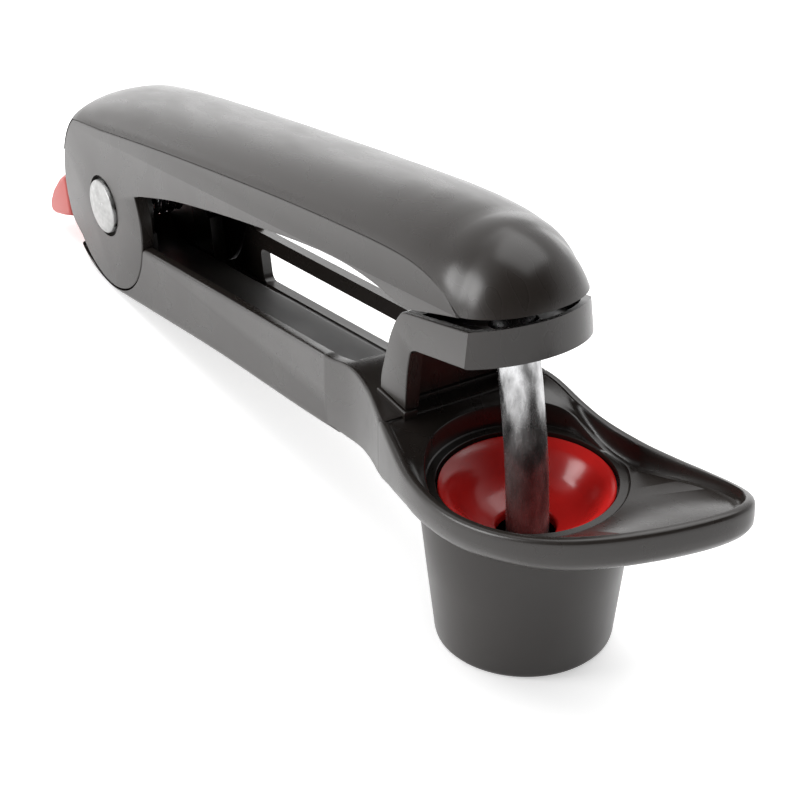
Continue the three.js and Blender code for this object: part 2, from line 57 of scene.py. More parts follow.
def box_mm(node):
    """Lowest and highest corner of a node at rest."""
    low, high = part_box(node)
    return [value / MM for value in low], [value / MM for value in high]


# Driving sizes, read from the frame where it states them
HALF_W = box_mm("lever_frame")[1][1]  # half the width of both handles
HEEL_R = HINGE[2]  # round heel, which stands on the floor
EAR_R = HEEL_R - 1.0  # lower side of the lever's ears
BACK_R = HEEL_R + 0.6  # round back of the lever
LIP_R = HEEL_R + 1.2  # lip of the heel, where it meets the lever's back
BASE_TILT = math.radians(12)
LEVER_TILT = math.radians(15)
HEEL_START = 229  # where the heel's lip ends, in degrees about the hinge, tilt included
SWING = JOINTS["lever_hinge"]["range_deg"][1]
GUARD_TOP_Z = box_mm("pit_guard")[1][2]
GUARD_TOP_R = box_mm("pit_guard")[1][0]
CUP_R = box_mm("cherry_cup")[1][0]
CUP_Z = box_mm("cherry_cup")[1][2]
PLUNGER_R = box_mm("plunger_rod")[1][1]
CAP_R = (box_mm("pin_cap_near")[1][0] - box_mm("pin_cap_near")[0][0]) / 2
PLUNGER_ARC = 133.4  # the rod's bend, about the hinge
BEYOND = 30  # outside both handles, for cutters
ABOVE_V = 6  # above the lower handle, for cutters


# ---- small geometry helpers ----------------------------------------------------------------------
def smoothstep(value, low, high):
    t = min(max((value - low) / (high - low), 0), 1)
    return t * t * (3 - 2 * t)


def mix(a, b, t):
    return a + (b - a) * t


def arc(radius, start, end, steps, centre=(0, 0)):
    """Points of a circular arc, angles in degrees."""
    angles = [math.radians(mix(start, end, i / steps)) for i in range(steps + 1)]
    return [(centre[0] + radius * math.cos(a), centre[1] + radius * math.sin(a)) for a in angles]


def rectangle(x0, y0, x1, y1):
    return [(x0, y0), (x1, y0), (x1, y1), (x0, y1)]


def between(a, b, c, d, t):
    """Smooth value on the way from b to c, with a before them and d after them."""
    square, cube = 2 * a - 5 * b + 4 * c - d, 3 * b - a - 3 * c + d
    return 0.5 * (2 * b + (c - a) * t + square * t * t + cube * t ** 3)


def spline(points, per_span):
    """A smooth line through points of any dimension."""
    last = len(points) - 1
    line = []
    for span in range(last):
        near = [points[min(max(span + k, 0), last)] for k in (-1, 0, 1, 2)]
        for step in range(per_span):
            line.append(tuple(between(*values, step / per_span) for values in zip(*near)))
    line.append(tuple(points[-1]))
    return line


def sample(table, x):
    """Smooth value at x from a short list of (x, value)."""
    if x <= table[0][0]:
        return table[0][1]
    for (x0, v0), (x1, v1) in zip(table, table[1:]):
        if x <= x1:
            return mix(v0, v1, smoothstep(x, x0, x1) * 0.35 + 0.65 * (x - x0) / (x1 - x0))
    return table[-1][1]


def resample(line, count):
    """The same line with evenly spaced points."""
    pts = [Vector(p) for p in line]
    lengths = [0.0]
    for a, b in zip(pts, pts[1:]):
        lengths.append(lengths[-1] + (b - a).length)
    result = []
    span = 0
    for i in range(count):
        want = lengths[-1] * i / (count - 1)
        while span < len(pts) - 2 and lengths[span + 1] < want:
            span += 1
        t = (want - lengths[span]) / max(lengths[span + 1] - lengths[span], 1e-9)
        result.append(tuple(pts[span].lerp(pts[span + 1], min(max(t, 0), 1))))
    return result


def new_mesh(name, vertices, faces):
    mesh = bpy.data.meshes.new(name)
    mesh.from_pydata([[c * MM for c in v] for v in vertices], [], faces)
    piece = bpy.data.objects.new(name, mesh)
    bpy.context.scene.collection.objects.link(piece)
    tidy_normals(piece)
    return piece


def tidy_normals(piece):
    """Joins points that coincide and turns every face outwards."""
    work = bmesh.new()
    work.from_mesh(piece.data)
    bmesh.ops.remove_doubles(work, verts=work.verts, dist=1e-7)
    bmesh.ops.recalc_face_normals(work, faces=work.faces)
    work.to_mesh(piece.data)
    work.free()


def loft(name, rings, closed_path=False):
    """Skin over rings of equal point count; each ring closes on itself, and an open path has end caps."""
    count = len(rings[0])
    vertices = [p for ring in rings for p in ring]
    faces = []
    spans = len(rings) if closed_path else len(rings) - 1
    for r in range(spans):
        a = r * count
        b = ((r + 1) % len(rings)) * count
        for i in range(count):
            j = (i + 1) % count
            faces.append((a + i, a + j, b + j, b + i))
    if not closed_path:
        faces.append(tuple(range(count)))
        faces.append(tuple(range(len(vertices) - count, len(vertices))))
    return new_mesh(name, vertices, faces)


def lathe(name, profile, steps, centre=(0, 0, 0), axis="Z"):
    """Turned piece from a closed (radius, height) profile; radius 0 lies on the axis."""
    rings = []
    for i in range(steps):
        a = 2 * math.pi * i / steps
        ring = []
        for r, h in profile:
            x, y = r * math.cos(a), r * math.sin(a)
            place = (x, y, h) if axis == "Z" else (x, h, y)
            ring.append(tuple(c + p for c, p in zip(centre, place)))
        rings.append(ring)
    return loft(name, rings, closed_path=True)


def prism(name, first, last):
    """Straight body between two equal outlines."""
    count = len(first)
    faces = [tuple(range(count)), tuple(range(count, 2 * count))]
    faces += [(i, (i + 1) % count, count + (i + 1) % count, count + i) for i in range(count)]
    return new_mesh(name, first + last, faces)


def across(name, profile, y0, y1):
    """Side profile of (x, z) points, as a plate from y0 to y1."""
    return prism(name, [(x, y0, z) for x, z in profile], [(x, y1, z) for x, z in profile])


def upward(name, outline, z0, z1):
    """Plan outline of (x, y) points, as a block from z0 to z1."""
    return prism(name, [(x, y, z0) for x, y in outline], [(x, y, z1) for x, y in outline])


def block(name, low, high):
    """Box between its lowest and its highest corner."""
    return across(name, rectangle(low[0], low[2], high[0], high[2]), low[1], high[1])


def offset_line(profile, distance):
    """A closed line moved inwards by a distance, with its corners mitred."""
    count = len(profile)
    area = sum(a[0] * b[1] - b[0] * a[1] for a, b in zip(profile, profile[1:] + profile[:1]))
    turn = 1 if area > 0 else -1
    moved = []
    for i, here in enumerate(profile):
        before, after = Vector(profile[i - 1]), Vector(profile[(i + 1) % count])
        here = Vector(here)
        a, b = (here - before).normalized(), (after - here).normalized()
        na, nb = Vector((-a.y, a.x)) * turn, Vector((-b.y, b.x)) * turn
        middle = (na + nb).normalized()
        reach = distance / max(middle.dot(na), 0.45)
        moved.append(tuple(here + middle * reach))
    return moved


def plate(name, profile, y0, y1, edge, steps=4):
    """Side profile as a plate whose two faces have rounded edges."""
    levels = []
    for k in range(steps + 1):
        a = math.pi / 2 * k / steps
        levels.append((edge * (1 - math.sin(a)), edge * (1 - math.cos(a))))
    rings = []
    for inset, depth in levels:
        rings.append([(x, y0 + depth, z) for x, z in offset_line(profile, inset)])
    for inset, depth in reversed(levels):
        rings.append([(x, y1 - depth, z) for x, z in offset_line(profile, inset)])
    return loft(name, rings)


def slab(name, outline, z0, z1, edge):
    """Plan outline as a slab whose top and bottom have rounded edges."""
    flat = plate(name, outline, z0, z1, edge, 3)
    for vertex in flat.data.vertices:
        x, y, z = vertex.co
        vertex.co = (x, z, y)
    tidy_normals(flat)
    return flat


def circle(radius, steps, centre):
    return arc(radius, 0, 360 - 360 / steps, steps - 1, centre)


def roller(name, radius, y0, y1, steps, centre=(0, 0)):
    """Cylinder that lies across the handles; the centre is (x, z)."""
    return across(name, circle(radius, steps, centre), y0, y1)


def upright(name, radius, z0, z1, steps, centre):
    """Cylinder that stands up; the centre is (x, y)."""
    return upward(name, circle(radius, steps, centre), z0, z1)


def sweep(name, path, radius, sides, first_side=(0, 1, 0), end_round=0.0):
    """Round rod along a path, with its section carried along without twist."""
    points = [Vector(p) for p in path]
    side = Vector(first_side)
    rings = []
    last = len(points) - 1
    for i, point in enumerate(points):
        along = (points[min(i + 1, last)] - points[max(i - 1, 0)]).normalized()
        side = (side - along * side.dot(along)).normalized()
        other = along.cross(side)
        ends = [(point, radius)]
        if end_round and i in (0, last):
            outward = -along if i == 0 else along
            ends = [(point - outward * end_round, radius),
                    (point - outward * end_round * 0.3, radius - end_round * 0.3),
                    (point, radius - end_round)]
            if i == 0:
                ends.reverse()
        for centre, r in ends:
            rings.append([tuple(centre + side * (r * math.cos(t)) + other * (r * math.sin(t)))
                          for t in (2 * math.pi * k / sides for k in range(sides))])
    return loft(name, rings)


def from_hinge(piece, tilt):
    """From a handle's own frame, hinge at the origin, to its place."""
    turn = Matrix.Translation(Vector(HINGE) * MM) @ Matrix.Rotation(-tilt, 4, "Y")
    piece.data.transform(turn)
    return piece


def bake_modifiers(piece):
    """Keeps what the modifiers make and removes them."""
    graph = bpy.context.evaluated_depsgraph_get()
    mesh = bpy.data.meshes.new_from_object(piece.evaluated_get(graph))
    piece.modifiers.clear()
    old = piece.data
    piece.data = mesh
    bpy.data.meshes.remove(old)


def combine(piece, others, operation):
    """Joins, cuts or intersects a piece with others, which are used up."""
    for other in others:
        step = piece.modifiers.new("boolean", "BOOLEAN")
        step.operation = operation
        step.solver = "MANIFOLD"
        step.object = other
    bake_modifiers(piece)
    for other in others:
        bpy.data.objects.remove(other)
    return piece


def shade(piece, angle):
    """Smooth shading, with a crisp line where faces meet at more than the angle in degrees."""
    for face in piece.data.polygons:
        face.use_smooth = True
    piece.data.set_sharp_from_angle(angle=math.radians(angle))


def finish_piece(piece, node, body, material, angle=40):
    """Names and shades the detailed piece that takes a node's place, gives it its material and puts it on
    its body.
    """
    piece.name = piece.data.name = f"{node}_skin"
    shade(piece, angle)
    piece.data.materials.clear()
    piece.data.materials.append(material)
    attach(piece, body)
    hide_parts(node)


# ---- materials -----------------------------------------------------------------------------------
def start_material(name):
    material = bpy.data.materials.new(name)
    material.use_nodes = True
    nodes = material.node_tree.nodes
    return material, nodes, material.node_tree.links, nodes["Principled BSDF"]


def noise_node(nodes, links, scale, detail, stretch=(1, 1, 1)):
    """Noise fixed to the piece; the scale counts features per metre."""
    place = nodes.new("ShaderNodeTexCoord")
    size = nodes.new("ShaderNodeMapping")
    size.inputs["Scale"].default_value = stretch
    texture = nodes.new("ShaderNodeTexNoise")
    texture.inputs["Scale"].default_value = scale
    texture.inputs["Detail"].default_value = detail
    links.new(place.outputs["Object"], size.inputs["Vector"])
    links.new(size.outputs["Vector"], texture.inputs["Vector"])
    return texture


def ramp_node(nodes, links, source, stops):
    """Colour ramp between two stops of (position, colour)."""
    ramp = nodes.new("ShaderNodeValToRGB")
    for element, (position, colour) in zip(ramp.color_ramp.elements, stops):
        element.position = position
        element.color = (*colour, 1)
    links.new(source, ramp.inputs["Fac"])
    return ramp


def blend_node(nodes, links, factor, first):
    """Mix of two colours, whose second input the caller sets."""
    blend = nodes.new("ShaderNodeMix")
    blend.data_type = "RGBA"
    links.new(factor, blend.inputs["Factor"])
    links.new(first, blend.inputs["A"])
    return blend


def range_node(nodes, links, source, low, high, from_low=0.3, from_high=0.7):
    """Carries from_low to low and from_high to high."""
    change = nodes.new("ShaderNodeMapRange")
    change.inputs["From Min"].default_value = from_low
    change.inputs["From Max"].default_value = from_high
    change.inputs["To Min"].default_value = low
    change.inputs["To Max"].default_value = high
    links.new(source, change.inputs["Value"])
    return change


def add_bump(nodes, links, shader, sources):
    """Chained bumps: each source is (output, strength, distance in mm)."""
    previous = None
    for output, strength, distance in sources:
        bump = nodes.new("ShaderNodeBump")
        bump.inputs["Strength"].default_value = strength
        bump.inputs["Distance"].default_value = distance * MM
        links.new(output, bump.inputs["Height"])
        if previous:
            links.new(previous.outputs["Normal"], bump.inputs["Normal"])
        previous = bump
    links.new(previous.outputs["Normal"], shader.inputs["Normal"])


def moulded_plastic(name, colour, roughness, grain=0.12, specular=0.5, wear=0.25):
    """Moulded plastic: fine spark grain, faint flow clouds and slightly rubbed edges."""
    material, nodes, links, shader = start_material(name)
    clouds = noise_node(nodes, links, 38, 3)
    spark = noise_node(nodes, links, 2600, 0)
    smears = noise_node(nodes, links, 90, 2, (1, 3, 1))
    dark = tuple(c * 0.86 for c in colour)
    light = tuple(min(c * 1.14 + 0.002, 1) for c in colour)
    tint = ramp_node(nodes, links, clouds.outputs["Fac"], [(0.15, dark), (0.85, light)])
    worn = tuple(min(c * 1.5 + 0.012, 1) for c in colour)
    geometry = nodes.new("ShaderNodeNewGeometry")
    edge = range_node(nodes, links, geometry.outputs["Pointiness"], 0, wear, 0.52, 0.6)
    blend = blend_node(nodes, links, edge.outputs["Result"], tint.outputs["Color"])
    blend.inputs["B"].default_value = (*worn, 1)
    links.new(blend.outputs["Result"], shader.inputs["Base Color"])
    rough = range_node(nodes, links, smears.outputs["Fac"], roughness - 0.05, roughness + 0.07, 0.1, 0.9)
    links.new(rough.outputs["Result"], shader.inputs["Roughness"])
    shader.inputs["Specular IOR Level"].default_value = specular
    add_bump(nodes, links, shader, [
        (spark.outputs["Fac"], grain, 0.012), (clouds.outputs["Fac"], 0.02, 0.1)])
    return material


def polished_steel(name, colour, roughness, scratched=0.5):
    """Polished steel with fine scratches and faint blotches."""
    material, nodes, links, shader = start_material(name)
    scratches = noise_node(nodes, links, 900, 4)
    blotches = noise_node(nodes, links, 260, 6)
    tint = ramp_node(nodes, links, blotches.outputs["Fac"], [
        (0.3, tuple(c * 0.82 for c in colour)), (0.7, colour)])
    links.new(tint.outputs["Color"], shader.inputs["Base Color"])
    shader.inputs["Metallic"].default_value = 1.0
    rough = range_node(nodes, links, scratches.outputs["Fac"], roughness * 0.6, roughness * 1.5)
    links.new(rough.outputs["Result"], shader.inputs["Roughness"])
    add_bump(nodes, links, shader, [
        (scratches.outputs["Fac"], scratched, 0.01), (blotches.outputs["Fac"], 0.12, 0.05)])
    return material


def pitted_steel(name):
    """Pitted and blotched bright steel, less metallic at the end that enters the cup, where painted shade
    darkens its colour.
    """
    # Heights where the painted shade of the lower end is full and where it has faded out
    shaded_end_z, bright_z = 0.030, 0.050
    material, nodes, links, shader = start_material(name)
    place = nodes.new("ShaderNodeTexCoord")
    split = nodes.new("ShaderNodeSeparateXYZ")
    links.new(place.outputs["Object"], split.inputs["Vector"])
    height = range_node(nodes, links, split.outputs["Z"], 0, 1, shaded_end_z, bright_z)
    pits = noise_node(nodes, links, 1500, 4, (1, 1, 0.35))
    blotches = noise_node(nodes, links, 330, 5, (1, 1, 0.4))
    bright = ramp_node(nodes, links, blotches.outputs["Fac"], [
        (0.38, (0.16, 0.16, 0.16)), (0.62, (0.62, 0.62, 0.63))])
    # Painted shade: a darker colour for the end of the rod that enters the cup
    shaded_end_tint = ramp_node(nodes, links, blotches.outputs["Fac"], [
        (0.35, (0.05, 0.049, 0.048)), (0.65, (0.2, 0.195, 0.19))])
    blend = blend_node(nodes, links, height.outputs["Result"], shaded_end_tint.outputs["Color"])
    links.new(bright.outputs["Color"], blend.inputs["B"])
    links.new(blend.outputs["Result"], shader.inputs["Base Color"])
    metal = range_node(nodes, links, split.outputs["Z"], 0.3, 1, shaded_end_z, 0.046)
    links.new(metal.outputs["Result"], shader.inputs["Metallic"])
    rough = range_node(nodes, links, pits.outputs["Fac"], 0.18, 0.32)
    links.new(rough.outputs["Result"], shader.inputs["Roughness"])
    add_bump(nodes, links, shader, [
        (pits.outputs["Fac"], 0.55, 0.06), (blotches.outputs["Fac"], 0.25, 0.1)])
    return material


WARM_BLACK = (0.0165, 0.0130, 0.0110)
handle_plastic = moulded_plastic("handle_plastic", WARM_BLACK, 0.27, grain=0.04, specular=0.46, wear=0.08)
inner_plastic = moulded_plastic("inner_plastic", (0.012, 0.0105, 0.0095), 0.42, grain=0.2)
guard_plastic = moulded_plastic("guard_plastic", WARM_BLACK, 0.33, specular=0.42, wear=0.08)
red_gloss = moulded_plastic("red_gloss", (0.55, 0.016, 0.014), 0.19, grain=0.03, specular=0.4, wear=0.0)
red_satin = moulded_plastic("red_satin", (0.38, 0.045, 0.036), 0.38, wear=0.15)
steel = polished_steel("steel", (0.78, 0.78, 0.79), 0.16)
rod_steel = pitted_steel("rod_steel")
cap_metal = polished_steel("cap_metal", (0.43, 0.43, 0.425), 0.45, 0.3)
spring_steel = polished_steel("spring_steel", (0.42, 0.42, 0.43), 0.3, 0.3)


# ---- lower handle and tray -----------------------------------------------------------------------
# In the handle's own frame, u runs along it and v stands square to it, both from the hinge.
RIM_W = 1.75
WELL_R = 16.3
WELL_FLOOR_Z = CUP_Z + 0.6
RECESS_R = CUP_R + 0.35  # recess in the well's floor, for the cup's flange
RECESS_Z = CUP_Z - 1.8
CUP_HOLE_R = 13.0
COLLAR_R = 15.4  # collar round the hole, inside the pit cup's rim
COLLAR_Z = 24.8
DECK_Z = 34.0
FOOT_Z = box_mm("visor")[0][2] + 0.9
WALL = 1.9
TOP_V = -4.8
FAR_TOP_V = -5.5
FLOOR_V = -16.0
RAIL_V = -12.5
SAG = 1.3  # how far the underside bows down on its way to the tray
CHANNEL_FROM = 20.0
CHANNEL_TO = 96.0
LINER_FROM = 9.3
LINER = 0.8
EAR_INNER = 9.4
HUB_HALF = 8.2
HUB_R = 9.0
POCKET_R = 12.7  # pocket of the torsion spring
POCKET_HALF = 5.3
BUSH_R = 3.6
PIN_R = 2.2
PIN_HALF = 10.5
WASHER_R = 6.0
SCREW_X = -24.3
SCREW_Y = 6.0
SCREW_R = 1.3
SCREW_HOLE_R = 1.6

# The tray's rim in plan, from the near rear round the pouring lip to the far rear.
RIM_PLAN = [
    (-52, -11.8), (-45, -11.8), (-36, -12.0), (-29.5, -13.0), (-24.4, -14.5), (-19, -16.2),
    (-12.7, -17.9), (-6, -19.3), (1.5, -19.9), (8.5, -19.2), (15.5, -17.1), (21.6, -13.9),
    (26.8, -9.6), (30.6, -4.8), (33.4, 0.2), (35.4, 5.2), (36.6, 10.2), (36.7, 14.6), (35.2, 18.3),
    (31.8, 20.7), (26.5, 21.6), (19.5, 21.3), (12.5, 20.2), (5.5, 18.8), (-2, 17.4), (-9.5, 16.7),
    (-17, 16.2), (-24, 14.9), (-30, 13.2), (-36, 12.1), (-45, 11.8), (-52, 11.8),
]
RIM_LINE = resample(spline(RIM_PLAN, 14), 420)
TRAY_FROM = -20.6  # where the tray starts, just inside the shoulder


def handle_z(x, v):
    """Height of a line along the lower handle, v millimetres above the hinge in the handle's own frame."""
    return HINGE[2] + (x - HINGE[0]) * math.tan(BASE_TILT) + v / math.cos(BASE_TILT)


def rim_z(x):
    """Height of the tray's rim: level at the back, dipping beside the cup and climbing to the lip."""
    forward = min(max(x / 35, 0), 1.1)
    return mix(DECK_Z, 32.7, smoothstep(x, -19, -4)) + 6.0 * forward ** 2


def top_z(x):
    """Top of the handle's near wall, which runs level into the deck."""
    slope = handle_z(x, TOP_V)
    return slope if x < -44 else mix(slope, DECK_Z, smoothstep(x, -44, -31))


def bottom_z(x):
    """Lower edge of the handle's and the tray's outer wall."""
    if x < -40:
        return handle_z(x, -HEEL_R) - SAG * smoothstep(x, -95, -45)
    if x < 12:
        start = (-40, handle_z(-40, -HEEL_R) - SAG)
        return sample([start, (-30, 20.0), (-22, 21.7), (-14, 24.0), (-6, 25.9), (2, 26.7), (12, 26.7)], x)
    return rim_z(x) - 6.7 - 0.8 * smoothstep(x, 12, 26)


def plan_y(x, side):
    """Outer face of the shell at x, on the near (-1) or the far (1) side."""
    line = sorted(p for p in RIM_LINE if p[1] * side > 0 and p[0] < 0)
    for (x0, y0), (x1, y1) in zip(line, line[1:]):
        if x <= x1:
            return mix(y0, y1, min(max((x - x0) / max(x1 - x0, 1e-6), 0), 1))
    return line[-1][1]


# Rounding of the wall's lower edge and of its rim, as (inwards, up) and (inwards, down)
UNDER_ROUND = [(0.9, 0.02), (0.62, 0.13), (0.4, 0.27), (0.22, 0.46), (0.09, 0.68), (0.02, 0.86)]
RIM_ROUND = [(0, 1.15), (0.06, 0.62), (0.24, 0.24), (0.5, 0.05), (0.8, 0)]


def soft_min(value, limit, blend):
    """The smaller of two values, with the change-over rounded."""
    near = max(blend - abs(value - limit), 0) / blend
    return min(value, limit) - near * near * blend * 0.25


def shoulder():
    """Solid of the handle's front end, as upright sections that widen into the tray.

    It stands a hair proud of the handle and sinks a hair into it and into the tray at its two ends."""
    rings = []
    steps = 30
    for i in range(steps + 1):
        x = mix(-47.0, -19.0, i / steps)
        proud = 0.02 - 0.25 * smoothstep(-x, 46.2, 47) - 0.12 * smoothstep(x, -19.9, -19)
        top, low = top_z(x) + proud, bottom_z(x) - proud
        grow = smoothstep(x, -40, -22)
        wide, tall, edge = mix(1.1, 2.0, grow), mix(1.2, 1.8, grow), mix(0.5, 1.0, grow)
        walls = []
        for side in (-1, 1):
            y = plan_y(x, side) + side * proud
            wall = [(y - side * wide * 1.3, low)]
            wall += [(y - side * wide * a, low + tall * b) for a, b in UNDER_ROUND]
            wall.append((y, mix(low + tall, top - edge, 0.5)))
            wall += [(y - side * edge * a, top - edge * b) for a, b in RIM_ROUND]
            walls.append(wall)
        near, far = walls
        rings.append([(x, y, z) for y, z in near + list(reversed(far))])
    return loft("shoulder", rings)


def tray_section(x, tall, away, well):
    """Tray's wall from its foot over the rim and down its inner slope, and how far back the section is.

    Points are (distance inwards, height above the wall's lower edge). The wall and the rim are squeezed
    where there is less room for them between the outline, the pit cup below and the well."""
    lift = smoothstep(x, -20, 4)
    back = smoothstep(-x, -2, 14)
    front = smoothstep(x, 6, 26)
    deep = mix(2.0, 4.6, lift)
    high = mix(1.8, 3.9, lift)
    squeeze = soft_min((away - GUARD_TOP_R - 1.0) / (deep + 1.2), 1, 0.4)
    outside = [((deep + 1.2) * squeeze, -0.05)] + [(deep * squeeze * a, high * b) for a, b in UNDER_ROUND]
    rim = [(0, tall * 0.62)] + [(a, tall - b) for a, b in RIM_ROUND]
    rim += [(RIM_W - 0.45, tall), (RIM_W - 0.15, tall - 0.06), (RIM_W + 0.02, tall - 0.26)]
    depth = mix(min(mix(3.9, 2.4, front), rim_z(x) - WELL_FLOOR_Z - 0.4), 0.9, back)
    hollowed = [(0.2, 0.35), (0.5, 0.68), (1.0, 0.9), (1.7, 1), (2.6, 1)]
    straight = [(0.3, 0.25), (0.8, 0.46), (1.4, 0.67), (2.0, 0.86), (2.6, 1)]
    room = away - well - 0.45
    rim_fit = soft_min(room * 0.6 / RIM_W, 1, 0.3)
    inner_fit = soft_min((room - RIM_W * rim_fit) / 2.7, 1, 0.3)
    inside = [(RIM_W * rim_fit + mix(a, c, back) * inner_fit, tall - depth * mix(b, d, back))
              for (a, b), (c, d) in zip(hollowed, straight)]
    return outside + [(d * rim_fit, h) for d, h in rim] + inside, back


def tray_ring():
    """The tray as sections round the cup's axis; straight across at the back, inside the shoulder."""
    line = [p for p in RIM_LINE if p[0] > TRAY_FROM]
    near, far = line[0], line[-1]
    line += [(TRAY_FROM, mix(far[1], near[1], i / 24)) for i in range(24)]
    clear = GUARD_TOP_Z + GAP
    rings = []
    for x, y in line:
        away = math.hypot(x, y)
        ux, uy = x / away, y / away
        sunk = 0.25 * smoothstep(-x, 19.5, 20.3)
        low, top = bottom_z(x) + sunk, rim_z(x) - sunk
        away -= sunk
        well = soft_min(away - 2.6, WELL_R, 1.6)
        wall, back = tray_section(x, top - low, away, well)
        edge = mix(WELL_FLOOR_Z + 0.4, top - 1.05, back)
        section = [(CUP_HOLE_R, COLLAR_Z), (COLLAR_R - 0.1, COLLAR_Z), (COLLAR_R, COLLAR_Z + 0.1),
                   (COLLAR_R, clear), (GUARD_TOP_R + 0.35, clear),
                   (GUARD_TOP_R + 0.5, clear + 0.1 - 5.2 * back)]
        section += [(away - d, low + h) for d, h in wall]
        section += [(well + 0.35, edge), (well + 0.12, edge - 0.08), (well, edge - 0.3),
                    (well - 0.05, WELL_FLOOR_Z + 0.2), (well - 0.25, WELL_FLOOR_Z),
                    (RECESS_R + 0.1, WELL_FLOOR_Z), (RECESS_R, WELL_FLOOR_Z - 0.1), (RECESS_R, RECESS_Z),
                    (CUP_HOLE_R + 0.1, RECESS_Z), (CUP_HOLE_R, RECESS_Z - 0.1)]
        rings.append([(ux * r, uy * r, z) for r, z in section])
    return loft("tray", rings, closed_path=True)


def heel_line(start):
    """Outer line of the heel, from the end of its lip to the underside, in degrees about the hinge."""
    line = []
    for i, (x, z) in enumerate(arc(1, start, 270, 40)):
        r = mix(LIP_R, HEEL_R, smoothstep(i, 0, 31))
        line.append((x * r, z * r))
    return line


def ear_sweep(start, extra):
    """What the lever's round back sweeps, with clearance, in degrees about the hinge."""
    line = []
    for i in range(120):
        turn = i * 3
        fall = min(turn / SWING, 1) - min(max((turn - 300) / 20, 0), 1)
        r = mix(BACK_R, EAR_R, fall) + extra
        a = math.radians(start + turn)
        line.append((r * math.cos(a), r * math.sin(a)))
    return line


def window_line():
    """Long window in the far wall, with round corners."""
    low, high, r = -15.7, -8.8, 1.5
    start, end = CHANNEL_FROM + 1, CHANNEL_TO - 2
    return (arc(r, -90, 0, 6, (end - r, low + r)) + arc(r, 0, 90, 6, (end - r, high - r))
            + arc(r, 90, 180, 6, (start + r, high - r)) + arc(r, 180, 270, 6, (start + r, low + r)))


def handle_wedge(start):
    """Solid of the handle from its round heel, whose lip starts at an angle, to just behind the tray."""
    under = [(u, -HEEL_R - SAG * math.cos(BASE_TILT) * smoothstep(u, 36, 87))
             for u in (6, 20, 36, 46, 56, 66, 76, 84, 90)]
    side = heel_line(start) + under + [(91.5, TOP_V), (6, TOP_V), (0, 0)]
    return from_hinge(plate("lower_shell", side, -HALF_W, HALF_W, 0.9), BASE_TILT)


def build_lower_shell():
    start = HEEL_START - math.degrees(BASE_TILT)
    inner = HALF_W - WALL
    pocket, slot = POCKET_R + LINER + GAP, POCKET_HALF + GAP
    # The two sweeps differ by a hair, so that no cut face lies on another.
    ear_cuts = [
        across("ear_far", ear_sweep(start - 0.11, GAP), HUB_HALF, HALF_W + 1),
        across("ear_near", ear_sweep(start - 0.17, GAP + 0.004), -HALF_W - 1.3, -HUB_HALF),
        plate("channel_rear", rectangle(LINER_FROM - GAP, FLOOR_V, CHANNEL_FROM + 1, ABOVE_V),
              -inner, inner, 0.5),
    ]
    hub_cuts = [
        roller("pocket", pocket, -slot, slot, 96),
        roller("bush_bore", BUSH_R + GAP, -HUB_HALF - 1, HUB_HALF + 1, 48),
        block("mouth", (0, -slot, -pocket), (CHANNEL_FROM + 1, slot, ABOVE_V)),
        block("lock_slot", (-20, -4.4, -8.4), (-9.5, 4.4, 0)),
    ]
    channel_cuts = [
        plate("channel", rectangle(CHANNEL_FROM, FLOOR_V, CHANNEL_TO, ABOVE_V), -inner, inner, 0.5),
        block("far_top", (CHANNEL_FROM, 0, FAR_TOP_V), (CHANNEL_TO, HALF_W + 1, ABOVE_V)),
        plate("window", window_line(), inner - 1, HALF_W + 1, 0.1),
    ]
    hub = roller("hub", HUB_R, -HUB_HALF, HUB_HALF, 96)
    for part in ear_cuts + hub_cuts + channel_cuts + [hub]:
        from_hinge(part, BASE_TILT)
    foot_line = [(-27.2, -12), (-18.2, -12), (-18.2, -9.6), (-21.4, -9.6), (-21.4, 9.6), (-18.2, 9.6),
                 (-18.2, 12), (-27.2, 12)]
    shell = handle_wedge(start)
    combine(shell, ear_cuts, "DIFFERENCE")
    combine(shell, [hub], "UNION")
    combine(shell, hub_cuts, "DIFFERENCE")
    combine(shell, [shoulder()], "UNION")
    combine(shell, channel_cuts, "DIFFERENCE")
    combine(shell, [tray_ring(), slab("foot", foot_line, 30, FOOT_Z - GAP, 0.3)], "UNION")
    screw_cuts = []
    for y in (-SCREW_Y, SCREW_Y):
        screw_cuts.append(upright("hole", SCREW_HOLE_R, 15, 40, 32, (SCREW_X, y)))
        screw_cuts.append(upright("sink", 3, 10, 25.2, 40, (SCREW_X, y)))
    return combine(shell, screw_cuts, "DIFFERENCE")


finish_piece(build_lower_shell(), "lower_shell", "lower_handle", handle_plastic, 32)


def build_liner():
    """Rail along the channel that curls up round the spring's pocket, with a thin fence by the near wall."""
    start, end, low = CHANNEL_FROM + GAP, CHANNEL_TO - GAP, FLOOR_V + GAP
    side = arc(POCKET_R + LINER, 222, 270, 24)
    side += [(LINER_FROM, -POCKET_R - LINER), (LINER_FROM, low), (end, low), (end, RAIL_V), (6, RAIL_V)]
    side += reversed(arc(POCKET_R, 222, 268, 24))
    rail = plate("rail", side, -POCKET_HALF, POCKET_HALF, 0.25)
    near = -HALF_W + WALL + GAP
    strip = plate("strip", rectangle(LINER_FROM, low, end, low + LINER), near, -4, 0.1)
    fence_line = [(start, low), (end, low), (end, -7.4), (end - 1.4, -6), (start + 1.4, -6), (start, -7.4)]
    fence = plate("fence", fence_line, near, near + 0.9, 0.2)
    combine(rail, [strip, fence], "UNION")
    return from_hinge(rail, BASE_TILT)


finish_piece(build_liner(), "channel_liner", "lower_handle", inner_plastic)


# ---- visor ---------------------------------------------------------------------------------------
CORNER_X = -0.4
BULGE = 6.3
VISOR_REAR_X, VISOR_REAR_Z = -19.9, 52.9
VISOR_SLOPE = (63.1 - 52.9) / 31.9
VISOR_EDGE = 5.6  # height of the band that is drawn in


